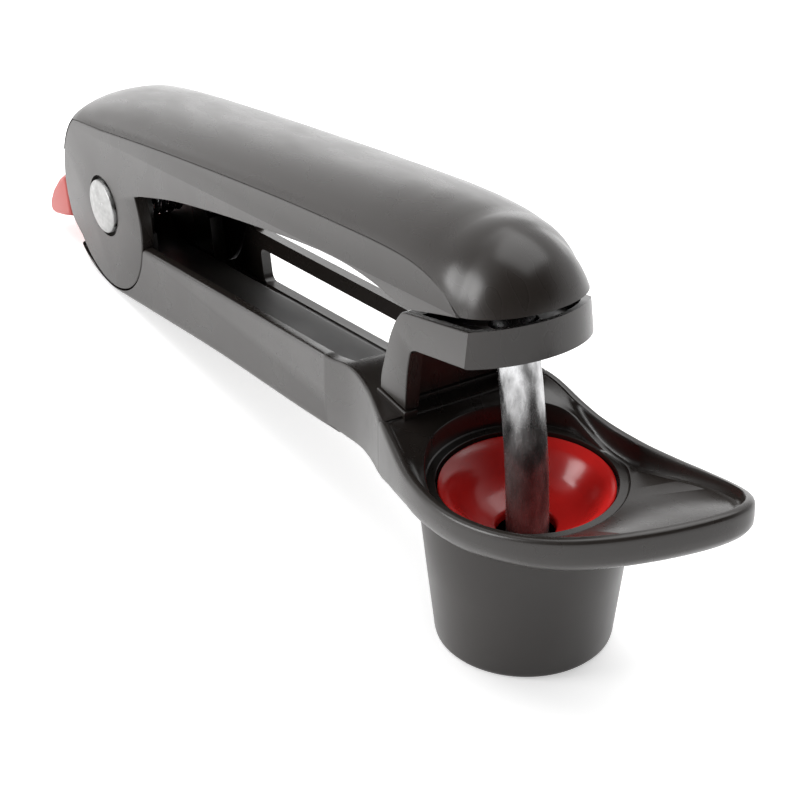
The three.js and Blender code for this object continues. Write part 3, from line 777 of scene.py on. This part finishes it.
def nose_line(corner, half, bulge, back):
    """Plan of a straight-sided piece with a round front."""
    r = (half * half + bulge * bulge) / (2 * bulge)
    reach = math.degrees(math.asin(half / r))
    front = [(x + corner + bulge - r, y) for x, y in arc(r, -reach, reach, 48)]
    return [(back, -half)] + front + [(back, half)]


def visor_top(x):
    return VISOR_REAR_Z + (x - VISOR_REAR_X) * VISOR_SLOPE


def hinge_arc(start, end, steps):
    """The plunger's path, an arc about the hinge, in degrees."""
    return [(HINGE[0] + x, 0, HINGE[2] + z) for x, z in arc(PLUNGER_ARC, start, end, steps)]


def build_visor():
    rear = spline([(-26.5, FOOT_Z), (-26.3, 37.6), (-25.8, 39.6), (-24.7, 43), (-23.2, 47.2),
                   (-21.5, 50.6), (-19.9, 52.7)], 5)
    corner = spline([(-15.2, 48.0), (-16.6, 47.1), (-17.3, 45.2), (-18.0, 41), (-18.4, FOOT_Z)], 5)
    side = rear + [(-19.2, 53.1), (13, 63.45), (13, 56.95)] + corner
    visor = plate("visor", side, -HALF_W, HALF_W, 0.3)
    plan = slab("plan", nose_line(CORNER_X, HALF_W + 0.06, BULGE, -40), 28, 75, 0.1)
    combine(visor, [plan], "INTERSECT")
    between_legs = [(-21.6, 30), (-21.6, 44.5), (-20.2, 47.6), (-17.8, 48.2), (-15.2, 46.9),
                    (-10, 44.5), (-10, 30)]
    dish_side = [(x, visor_top(x) - 2.2) for x in (-BEYOND, BEYOND)] + [(BEYOND, 95), (-BEYOND, 95)]
    dish = across("dish", dish_side, -BEYOND, BEYOND)
    dish_plan = nose_line(CORNER_X - 1.0, HALF_W - 1.35, BULGE - 0.2, -15.5)
    combine(dish, [slab("dish_plan", dish_plan, 28, 90, 0.1)], "INTERSECT")
    cuts = [plate("hollow", between_legs, -9.2, 9.2, 1.2), dish,
            sweep("bore", hinge_arc(5, 25, 24), PLUNGER_R + 0.6, 56)]
    cuts += [upright("hole", 1.45, 25, 37.6, 32, (SCREW_X, y)) for y in (-SCREW_Y, SCREW_Y)]
    combine(visor, cuts, "DIFFERENCE")
    draw_in(visor)
    return visor


def draw_in(visor):
    """Draft of the band round the stripper plate: narrower towards the top, and leaning back in front."""
    for vertex in visor.data.vertices:
        x, y, z = (value / MM for value in vertex.co)
        lean = smoothstep(x, -15, -1) * min(max((z - visor_top(x) + VISOR_EDGE) / VISOR_EDGE, 0), 1)
        vertex.co = Vector((x - 0.55 * lean * smoothstep(x, -2, 6), y * (1 - 0.055 * lean), z)) * MM


finish_piece(build_visor(), "visor", "lower_handle", handle_plastic, 32)


def pan_screw(head_r, length, centre):
    """Pan-head screw pointing up, with a cross recess in its head below."""
    head_h = 1.8
    profile = [(0, 0.35), (head_r * 0.55, 0.2), (head_r * 0.85, 0.42), (head_r, 0.95), (head_r, head_h),
               (SCREW_R, head_h), (SCREW_R, length - SCREW_R), (SCREW_R * 0.3, length), (0, length)]
    screw = lathe("screw", profile, 40, centre)
    x, y, z = centre
    arms = [block("arm", (x - 1.3, y - 0.3, z - 1), (x + 1.3, y + 0.3, z + 1.2)),
            block("arm", (x - 0.3, y - 1.3, z - 1), (x + 0.3, y + 1.3, z + 1.2))]
    return combine(screw, arms, "DIFFERENCE")


for side, label in ((-1, "near"), (1, "far")):
    screw = pan_screw(2.6, 13.8, (SCREW_X, side * SCREW_Y, 23.1))
    finish_piece(screw, f"visor_screw_{label}", "lower_handle", steel)


# ---- hinge ---------------------------------------------------------------------------------------
def hinge_ring(name, outer, near, far):
    """Bush or washer on the pin, with its outer edges broken; near and far are two places along the pin."""
    inner = PIN_R + GAP
    y0, y1 = sorted((near, far))
    e = min(0.15, (y1 - y0) / 4)
    profile = [(inner, y0), (outer - e, y0), (outer, y0 + e), (outer, y1 - e), (outer - e, y1), (inner, y1)]
    return lathe(name, profile, 72, HINGE, "Y")


def build_cap(side):
    """Turned metal cap in the ear, with a shallow dome."""
    profile = [(0, 0), (PIN_R - 0.2, 0), (PIN_R - 0.2, 0.4), (CAP_R - 0.12, 0.4), (CAP_R, 0.52),
               (CAP_R, 1.35), (CAP_R - 0.06, 1.5), (CAP_R - 0.22, 1.62), (CAP_R * 0.85, 1.74),
               (CAP_R * 0.6, 1.86), (CAP_R * 0.3, 1.93), (0, 1.95)]
    centre = (HINGE[0], side * (HALF_W - 1.0), HINGE[2])
    return lathe("cap", [(r, side * h) for r, h in profile], 96, centre, "Y")


def build_pin():
    end, chamfer = PIN_HALF, 0.2
    profile = [(0, -end), (PIN_R - chamfer, -end), (PIN_R, -end + chamfer), (PIN_R, end - chamfer),
               (PIN_R - chamfer, end), (0, end)]
    return lathe("pin", profile, 48, HINGE, "Y")


for side, label in ((-1, "near"), (1, "far")):
    bush = hinge_ring("bush", BUSH_R, side * (POCKET_HALF + GAP), side * HUB_HALF)
    finish_piece(bush, f"hinge_bush_{label}", "lower_handle", inner_plastic)
    washer = hinge_ring("washer", WASHER_R, side * (HUB_HALF + GAP), side * (HUB_HALF + 0.9))
    finish_piece(washer, f"hinge_washer_{label}", "lower_handle", steel)
    finish_piece(build_cap(side), f"pin_cap_{label}", "lever", cap_metal)

finish_piece(build_pin(), "hinge_pin", "lever", steel)


def build_spring():
    """Torsion spring: a short leg down behind the pin, the coil round it and a long leg to the lever."""
    coil_r, half, turns = 3.7, 3.6, 4.5
    path = [(-7.6, -half, -8.9), (-6.3, -half, -7.6), (-4.4, -half, -5.5), (-2.2, -half, -4.15)]
    for i in range(int(turns * 28) + 1):
        t = i / (turns * 28)
        a = math.radians(-90) - t * turns * 2 * math.pi
        path.append((coil_r * math.cos(a), -half + 2 * half * t, coil_r * math.sin(a)))
    path += [(x, half, coil_r + rise) for x, rise in ((3, 0.25), (6, 0.85), (12, 2.2), (26, 5.35))]
    return from_hinge(sweep("spring", path, 0.7, 14, (0, 0, 1)), BASE_TILT)


finish_piece(build_spring(), "torsion_spring", "lower_handle", spring_steel)


# ---- lever ---------------------------------------------------------------------------------------
# In the lever's own frame, u runs along it and v stands square to it, both from the hinge.
NOSE_U, NOSE_V = 137.2, 8.1
LOWER_EDGE = [(17.6, 5), (32, 7), (46, 8.1), (63, 9), (86, 9.7), (99.5, 9.4), (110, 8), (119.2, 6),
              (128, 6.9)]
SEAM = [(NOSE_U, NOSE_V), (133.2, 11.8), (127.3, 14.1), (119, 15.3), (104, 16), (80, 16.5), (48, 16.5),
        (24, 16.2), (4, 15.7)]
SEAM_LINE = list(reversed(spline(SEAM, 16)))
BRIDGES = (46, 100)  # where the cover's screws pass through the frame
BRIDGE_HALF = 10.2
CROSS_PIN_AT = (132.9, 11.2)


def seam_v(u):
    """Height of the parting line between the lever's frame and its cover."""
    if u <= 4:
        return min(SEAM[-1][1], math.sqrt(max(BACK_R * BACK_R - u * u, 0)))
    for (u0, v0), (u1, v1) in zip(SEAM_LINE, SEAM_LINE[1:]):
        if u <= u1:
            return mix(v0, v1, (u - u0) / max(u1 - u0, 1e-6))
    return NOSE_V


def ear_line():
    """Round back and ears: from the seam round behind the hinge, stepping in to clear the heel's lip."""
    end = HEEL_START - SWING - math.degrees(LEVER_TILT)
    taper = []
    for i in range(13):
        r, a = mix(BACK_R, EAR_R, smoothstep(i, 0, 12)), math.radians(end + SWING * i / 12)
        taper.append((r * math.cos(a), r * math.sin(a)))
    start = math.degrees(math.acos(-math.sqrt(BACK_R ** 2 - SEAM[-1][1] ** 2) / BACK_R))
    return arc(BACK_R, start, end - 3, 30) + taper + arc(EAR_R, end + SWING + 3, 376, 70)


def build_lever_frame():
    frame_line = ear_line() + spline(LOWER_EDGE, 6) + spline(SEAM, 6)
    shape = plate("lever_frame", frame_line, -HALF_W, HALF_W, 0.3)
    plan = slab("plan", nose_line(NOSE_U, HALF_W + 0.06, BULGE, -40), -30, 45, 0.1)
    combine(shape, [plan], "INTERSECT")
    inside = plate("inside", rectangle(-30, -30, 150, 30), -EAR_INNER, EAR_INNER, 0.2)
    back_line = arc(15, 60, 175, 40) + list(reversed(arc(BACK_R + 2, 60, 175, 40)))
    combine(inside, [across("back", back_line, -EAR_INNER - 1, EAR_INNER + 1)], "DIFFERENCE")
    cap_floor = HALF_W - 1.2
    cuts = [inside, roller("bore", PIN_R + GAP, -BEYOND, BEYOND, 48),
            roller("recess", CAP_R + 0.8, -BEYOND, -cap_floor, 96),
            roller("recess", CAP_R + 0.8, cap_floor, BEYOND, 96)]
    combine(shape, cuts, "DIFFERENCE")
    bridges = [slab("bridge", rectangle(u - 3, -BRIDGE_HALF, u + 3, BRIDGE_HALF), 11.6, 13.6, 0.2)
               for u in BRIDGES]
    bridges.append(slab("rest", rectangle(28, -BRIDGE_HALF, 30, BRIDGE_HALF), 11.4, 15.6, 0.2))
    combine(shape, bridges, "UNION")
    combine(shape, [upright("hole", SCREW_HOLE_R, 5, 20, 32, (u, 0)) for u in BRIDGES], "DIFFERENCE")
    return from_hinge(shape, LEVER_TILT)


finish_piece(build_lever_frame(), "lever_frame", "lever", handle_plastic, 32)

TIP_U = 146.2
TAIL_U = -15.9
CROWN_TOP = [(18, 20.9), (45, 21.4), (90, 21.8), (108, 21.9), (116, 21.7), (124, 21.2), (130, 20.5)]
CROWN_END = 130.0  # where the crown starts to fall to the nose's tip
NARROW_FROM = 133.0


def crown_top(u, seam):
    """Height of the cover's top: domed at the tail and at the nose, nearly level between."""
    first_u, first = CROWN_TOP[0]
    if u < first_u:
        back = (first_u - u) / (first_u - TAIL_U)
        top = seam_v(4) + (first - seam_v(4)) * math.sqrt(max(1 - back ** 1.9, 0))
        return max(top, seam + 0.25)
    if u > CROWN_END:
        ahead = min((u - CROWN_END) / (TIP_U - CROWN_END), 1)
        return seam + 0.3 + (CROWN_TOP[-1][1] - seam - 0.3) * math.sqrt(max(1 - ahead ** 2.3, 0))
    return sample(CROWN_TOP, u)


def crown_section(u, inset=0.0):
    """Section of the cover: an arch from seam to seam, closed by a flat bottom.

    An inset section, for the hollow, is smaller and reaches 4 below the seam, so that it cuts through."""
    seam = seam_v(min(u, NOSE_U)) + 0.1
    top = crown_top(u, seam) - inset
    ahead = min(max((u - NARROW_FROM) / (TIP_U - NARROW_FROM), 0), 1)
    half = HALF_W * math.sqrt(max(1 - ahead ** 2.4, 0.002)) - inset
    start = math.radians(16)
    arch = []
    for i in range(29):
        a = mix(start, math.pi - start, i / 28)
        y = -half * math.cos(a) / math.cos(start)
        z = seam + (top - seam) * (math.sin(a) - math.sin(start)) / (1 - math.sin(start))
        arch.append((u, y, z))
    bottom = seam - 4 if inset else seam
    return arch + [(u, half * math.cos(math.pi * i / 12), bottom) for i in range(1, 12)]


def build_lever_cover():
    outer_at = [TAIL_U, -15.6, -15.1, -14.4, -13.6, -12.6, -11.4, -10.2, -8.9, -7, -5, -3, 0, 3, 6, 10, 16]
    outer_at += [24, 36, 50, 65, 80, 94] + [mix(104, 130, i / 10) for i in range(11)]
    outer_at += [mix(131, 143, i / 15) for i in range(16)]
    outer_at += [143.6, 144.2, 144.7, 145.1, 145.45, 145.75, 145.95, 146.1, TIP_U]
    inner_at = [-11, -9, -6, -2, 4, 12, 30, 60, 90, 108] + [mix(114, 139, i / 10) for i in range(11)]
    shell = loft("lever_cover", [crown_section(u) for u in outer_at])
    hollow = loft("hollow", [crown_section(u, 2.0) for u in inner_at])
    combine(shell, [hollow], "DIFFERENCE")
    boss_line = [(0, 14), (2.9, 14), (3, 14.1), (3, 19.8), (0, 19.8)]
    combine(shell, [lathe("boss", boss_line, 40, (u, 0, 0)) for u in BRIDGES], "UNION")
    combine(shell, [upright("hole", SCREW_HOLE_R, 12, 18.5, 32, (u, 0)) for u in BRIDGES], "DIFFERENCE")
    return from_hinge(shell, LEVER_TILT)


finish_piece(build_lever_cover(), "lever_cover", "lever", handle_plastic, 32)

for u, label in zip(BRIDGES, ("rear", "front")):
    screw = from_hinge(pan_screw(2.7, 8.6, (u, 0, 9.5)), LEVER_TILT)
    finish_piece(screw, f"cover_screw_{label}", "lever", steel)


def cross_bore():
    """Hole across the lever for the plunger's cross pin."""
    return roller("bore", 1.3, -12, 12, 32, CROSS_PIN_AT)


def build_carrier():
    """Block that grips the top of the plunger."""
    carrier = plate("carrier", rectangle(126.5, 9.2, 137.6, 13), -7.6, 7.6, 0.3)
    combine(carrier, [upright("neck", 6, 12, 16.2, 48, (132.6, 0))], "UNION")
    combine(carrier, [cross_bore()], "DIFFERENCE")
    from_hinge(carrier, LEVER_TILT)
    return combine(carrier, [sweep("bore", hinge_arc(15, 26, 16), PLUNGER_R + GAP, 48)], "DIFFERENCE")


def build_rod():
    rod = sweep("rod", hinge_arc(-4, 21.4, 90), PLUNGER_R, 72, end_round=0.35)
    return combine(rod, [from_hinge(cross_bore(), LEVER_TILT)], "DIFFERENCE")


def build_cross_pin():
    return from_hinge(plate("cross", arc(1, 0, 350, 35, CROSS_PIN_AT), -8, 8, 0.15), LEVER_TILT)


finish_piece(build_carrier(), "plunger_carrier", "lever", inner_plastic)
finish_piece(build_rod(), "plunger_rod", "lever", rod_steel, 50)
finish_piece(build_cross_pin(), "plunger_cross_pin", "lever", steel)


# ---- lock ----------------------------------------------------------------------------------------
def build_lock():
    """Red tab behind the heel, with a tongue that slides in the slot under the hinge."""
    corners = [(-151.3, 5.9), (-153, 14.2), (-154.5, 13.6), (-156.6, 11.8), (-159.6, 8.2), (-161.2, 5.2),
               (-161.4, 3.6), (-160.6, 2.65), (-159.2, 2.7), (-155.6, 4)]
    grip = plate("lock", list(reversed(corners)), -11, 11, 0.9, 5)
    tongue = from_hinge(plate("tongue", rectangle(-22.6, -8, -10.6, -5.4), -4, 4, 0.2), BASE_TILT)
    return combine(grip, [tongue], "UNION")


finish_piece(build_lock(), "lock_slider", "lock", red_satin)


# ---- cherry cup and pit guard --------------------------------------------------------------------
def build_cup():
    """Red dish with a hole in its foot, hung by its flange in the well's recess."""
    under_flange = CUP_Z - 1.4
    flange = [(CUP_R, under_flange), (CUP_R, CUP_Z - 0.3), (CUP_R - 0.08, CUP_Z - 0.06),
              (CUP_R - 0.16, CUP_Z)]
    bowl = spline([(14.02, CUP_Z - 0.12), (13.3, 27.35), (12.55, 26.75), (11.8, 25.85), (10.95, 24.65),
                   (9.8, 23.1), (8.3, 21.75), (6.7, 20.8), (5.2, 20.1)], 6)
    hole = [(4.95, 19.85), (4.8, 19.4), (4.8, 18.5), (4.95, 18.4)]
    outside = spline([(5.6, 18.5), (7.4, 19.2), (9.6, 20.6), (11.3, 22.5), (12.2, 24.4), (12.6, 25.9)], 6)
    return lathe("cup", flange + bowl + hole + outside + [(12.6, under_flange)], 128)


def build_guard():
    """Tapered cup that catches the pits, on a low foot ring."""
    top_r, top_z, wall = GUARD_TOP_R, GUARD_TOP_Z, 1.7
    low_r = top_r - 2.9
    foot = [(0, 0.35), (low_r - 3, 0.35), (low_r - 2.4, 0), (low_r - 0.9, 0), (low_r - 0.42, 0.14),
            (low_r - 0.1, 0.5), (low_r + 0.02, 1.0)]
    rim = [(mix(low_r, top_r, 0.5), top_z / 2), (top_r - 0.02, top_z - 0.35), (top_r - 0.12, top_z - 0.1),
           (top_r - 0.35, top_z), (top_r - wall, top_z)]
    inside = [(low_r - wall + 0.2, 3.2), (low_r - wall - 0.6, 2.1), (low_r - 3.4, 1.6), (0, 1.6)]
    return lathe("guard", foot + rim + inside, 128)


finish_piece(build_cup(), "cherry_cup", "fruit_cup", red_gloss, 35)
finish_piece(build_guard(), "pit_guard", "pit_cup", guard_plastic, 35)


# ---- stage ---------------------------------------------------------------------------------------
def build_stage():
    """Pale floor that glows faintly, as a light table does."""
    bpy.ops.mesh.primitive_plane_add(size=6, location=(0, 0, -0.0002))
    floor = bpy.context.object
    floor.name = "floor"
    material, nodes, links, shader = start_material("pale_floor")
    clouds = noise_node(nodes, links, 6, 2)
    tint = ramp_node(nodes, links, clouds.outputs["Fac"], [
        (0.3, (0.93, 0.93, 0.93)), (0.7, (0.96, 0.96, 0.96))])
    links.new(tint.outputs["Color"], shader.inputs["Base Color"])
    shader.inputs["Roughness"].default_value = 0.9
    shader.inputs["Emission Color"].default_value = (1, 1, 1, 1)
    shader.inputs["Emission Strength"].default_value = 0.5
    floor.data.materials.append(material)


def area_light(name, location, target, size, power, size_y=None):
    """Square lamp, or an oblong one where size_y is given, that faces its target."""
    data = bpy.data.lights.new(name, "AREA")
    data.energy = power
    data.size = size
    if size_y:
        data.shape = "RECTANGLE"
        data.size_y = size_y
    light = bpy.data.objects.new(name, data)
    light.location = location
    light.rotation_euler = (Vector(target) - Vector(location)).to_track_quat("-Z", "Y").to_euler()
    bpy.context.scene.collection.objects.link(light)


def build_light():
    """White studio that falls off to dark towards the front and above, with three soft lamps."""
    dark_side = (0.82, -0.30, 0.48)
    world = bpy.data.worlds.new("studio")
    bpy.context.scene.world = world
    world.use_nodes = True
    nodes, links = world.node_tree.nodes, world.node_tree.links
    place = nodes.new("ShaderNodeTexCoord")
    towards = nodes.new("ShaderNodeVectorMath")
    towards.operation = "DOT_PRODUCT"
    towards.inputs[1].default_value = dark_side
    links.new(place.outputs["Generated"], towards.inputs[0])
    change = range_node(nodes, links, towards.outputs["Value"], 1.15, 0.08, -0.15, 0.85)
    change.interpolation_type = "SMOOTHSTEP"
    links.new(change.outputs["Result"], nodes["Background"].inputs["Strength"])
    nodes["Background"].inputs["Color"].default_value = (1, 1, 1, 1)
    area_light("top_softbox", (-0.15, 0.2, 1.0), (-0.05, 0, 0), 1.1, 9)
    area_light("left_softbox", (-0.32, -0.75, 0.33), (-0.16, -0.14, 0), 0.36, 3.3)
    area_light("low_back_panel", (-1.15, 0.55, 0.11), (-0.05, 0, 0.05), 2.2, 1.9, 0.2)
    bpy.context.scene.view_settings.view_transform = "Standard"


def build_camera():
    """Long lens from the front right, looking down at the cup."""
    azimuth, elevation = math.radians(60.11), math.radians(32.67)
    data = bpy.data.cameras.new("camera")
    data.lens = 140.64
    data.sensor_width = 36
    data.clip_start = 0.01
    data.clip_end = 20
    camera = bpy.data.objects.new("camera", data)
    camera.location = (0.3462, -0.2223, 0.3072)
    camera.rotation_euler = (math.pi / 2 - elevation, 0, azimuth)
    bpy.context.scene.collection.objects.link(camera)
    bpy.context.scene.camera = camera


build_stage()
build_light()
build_camera()
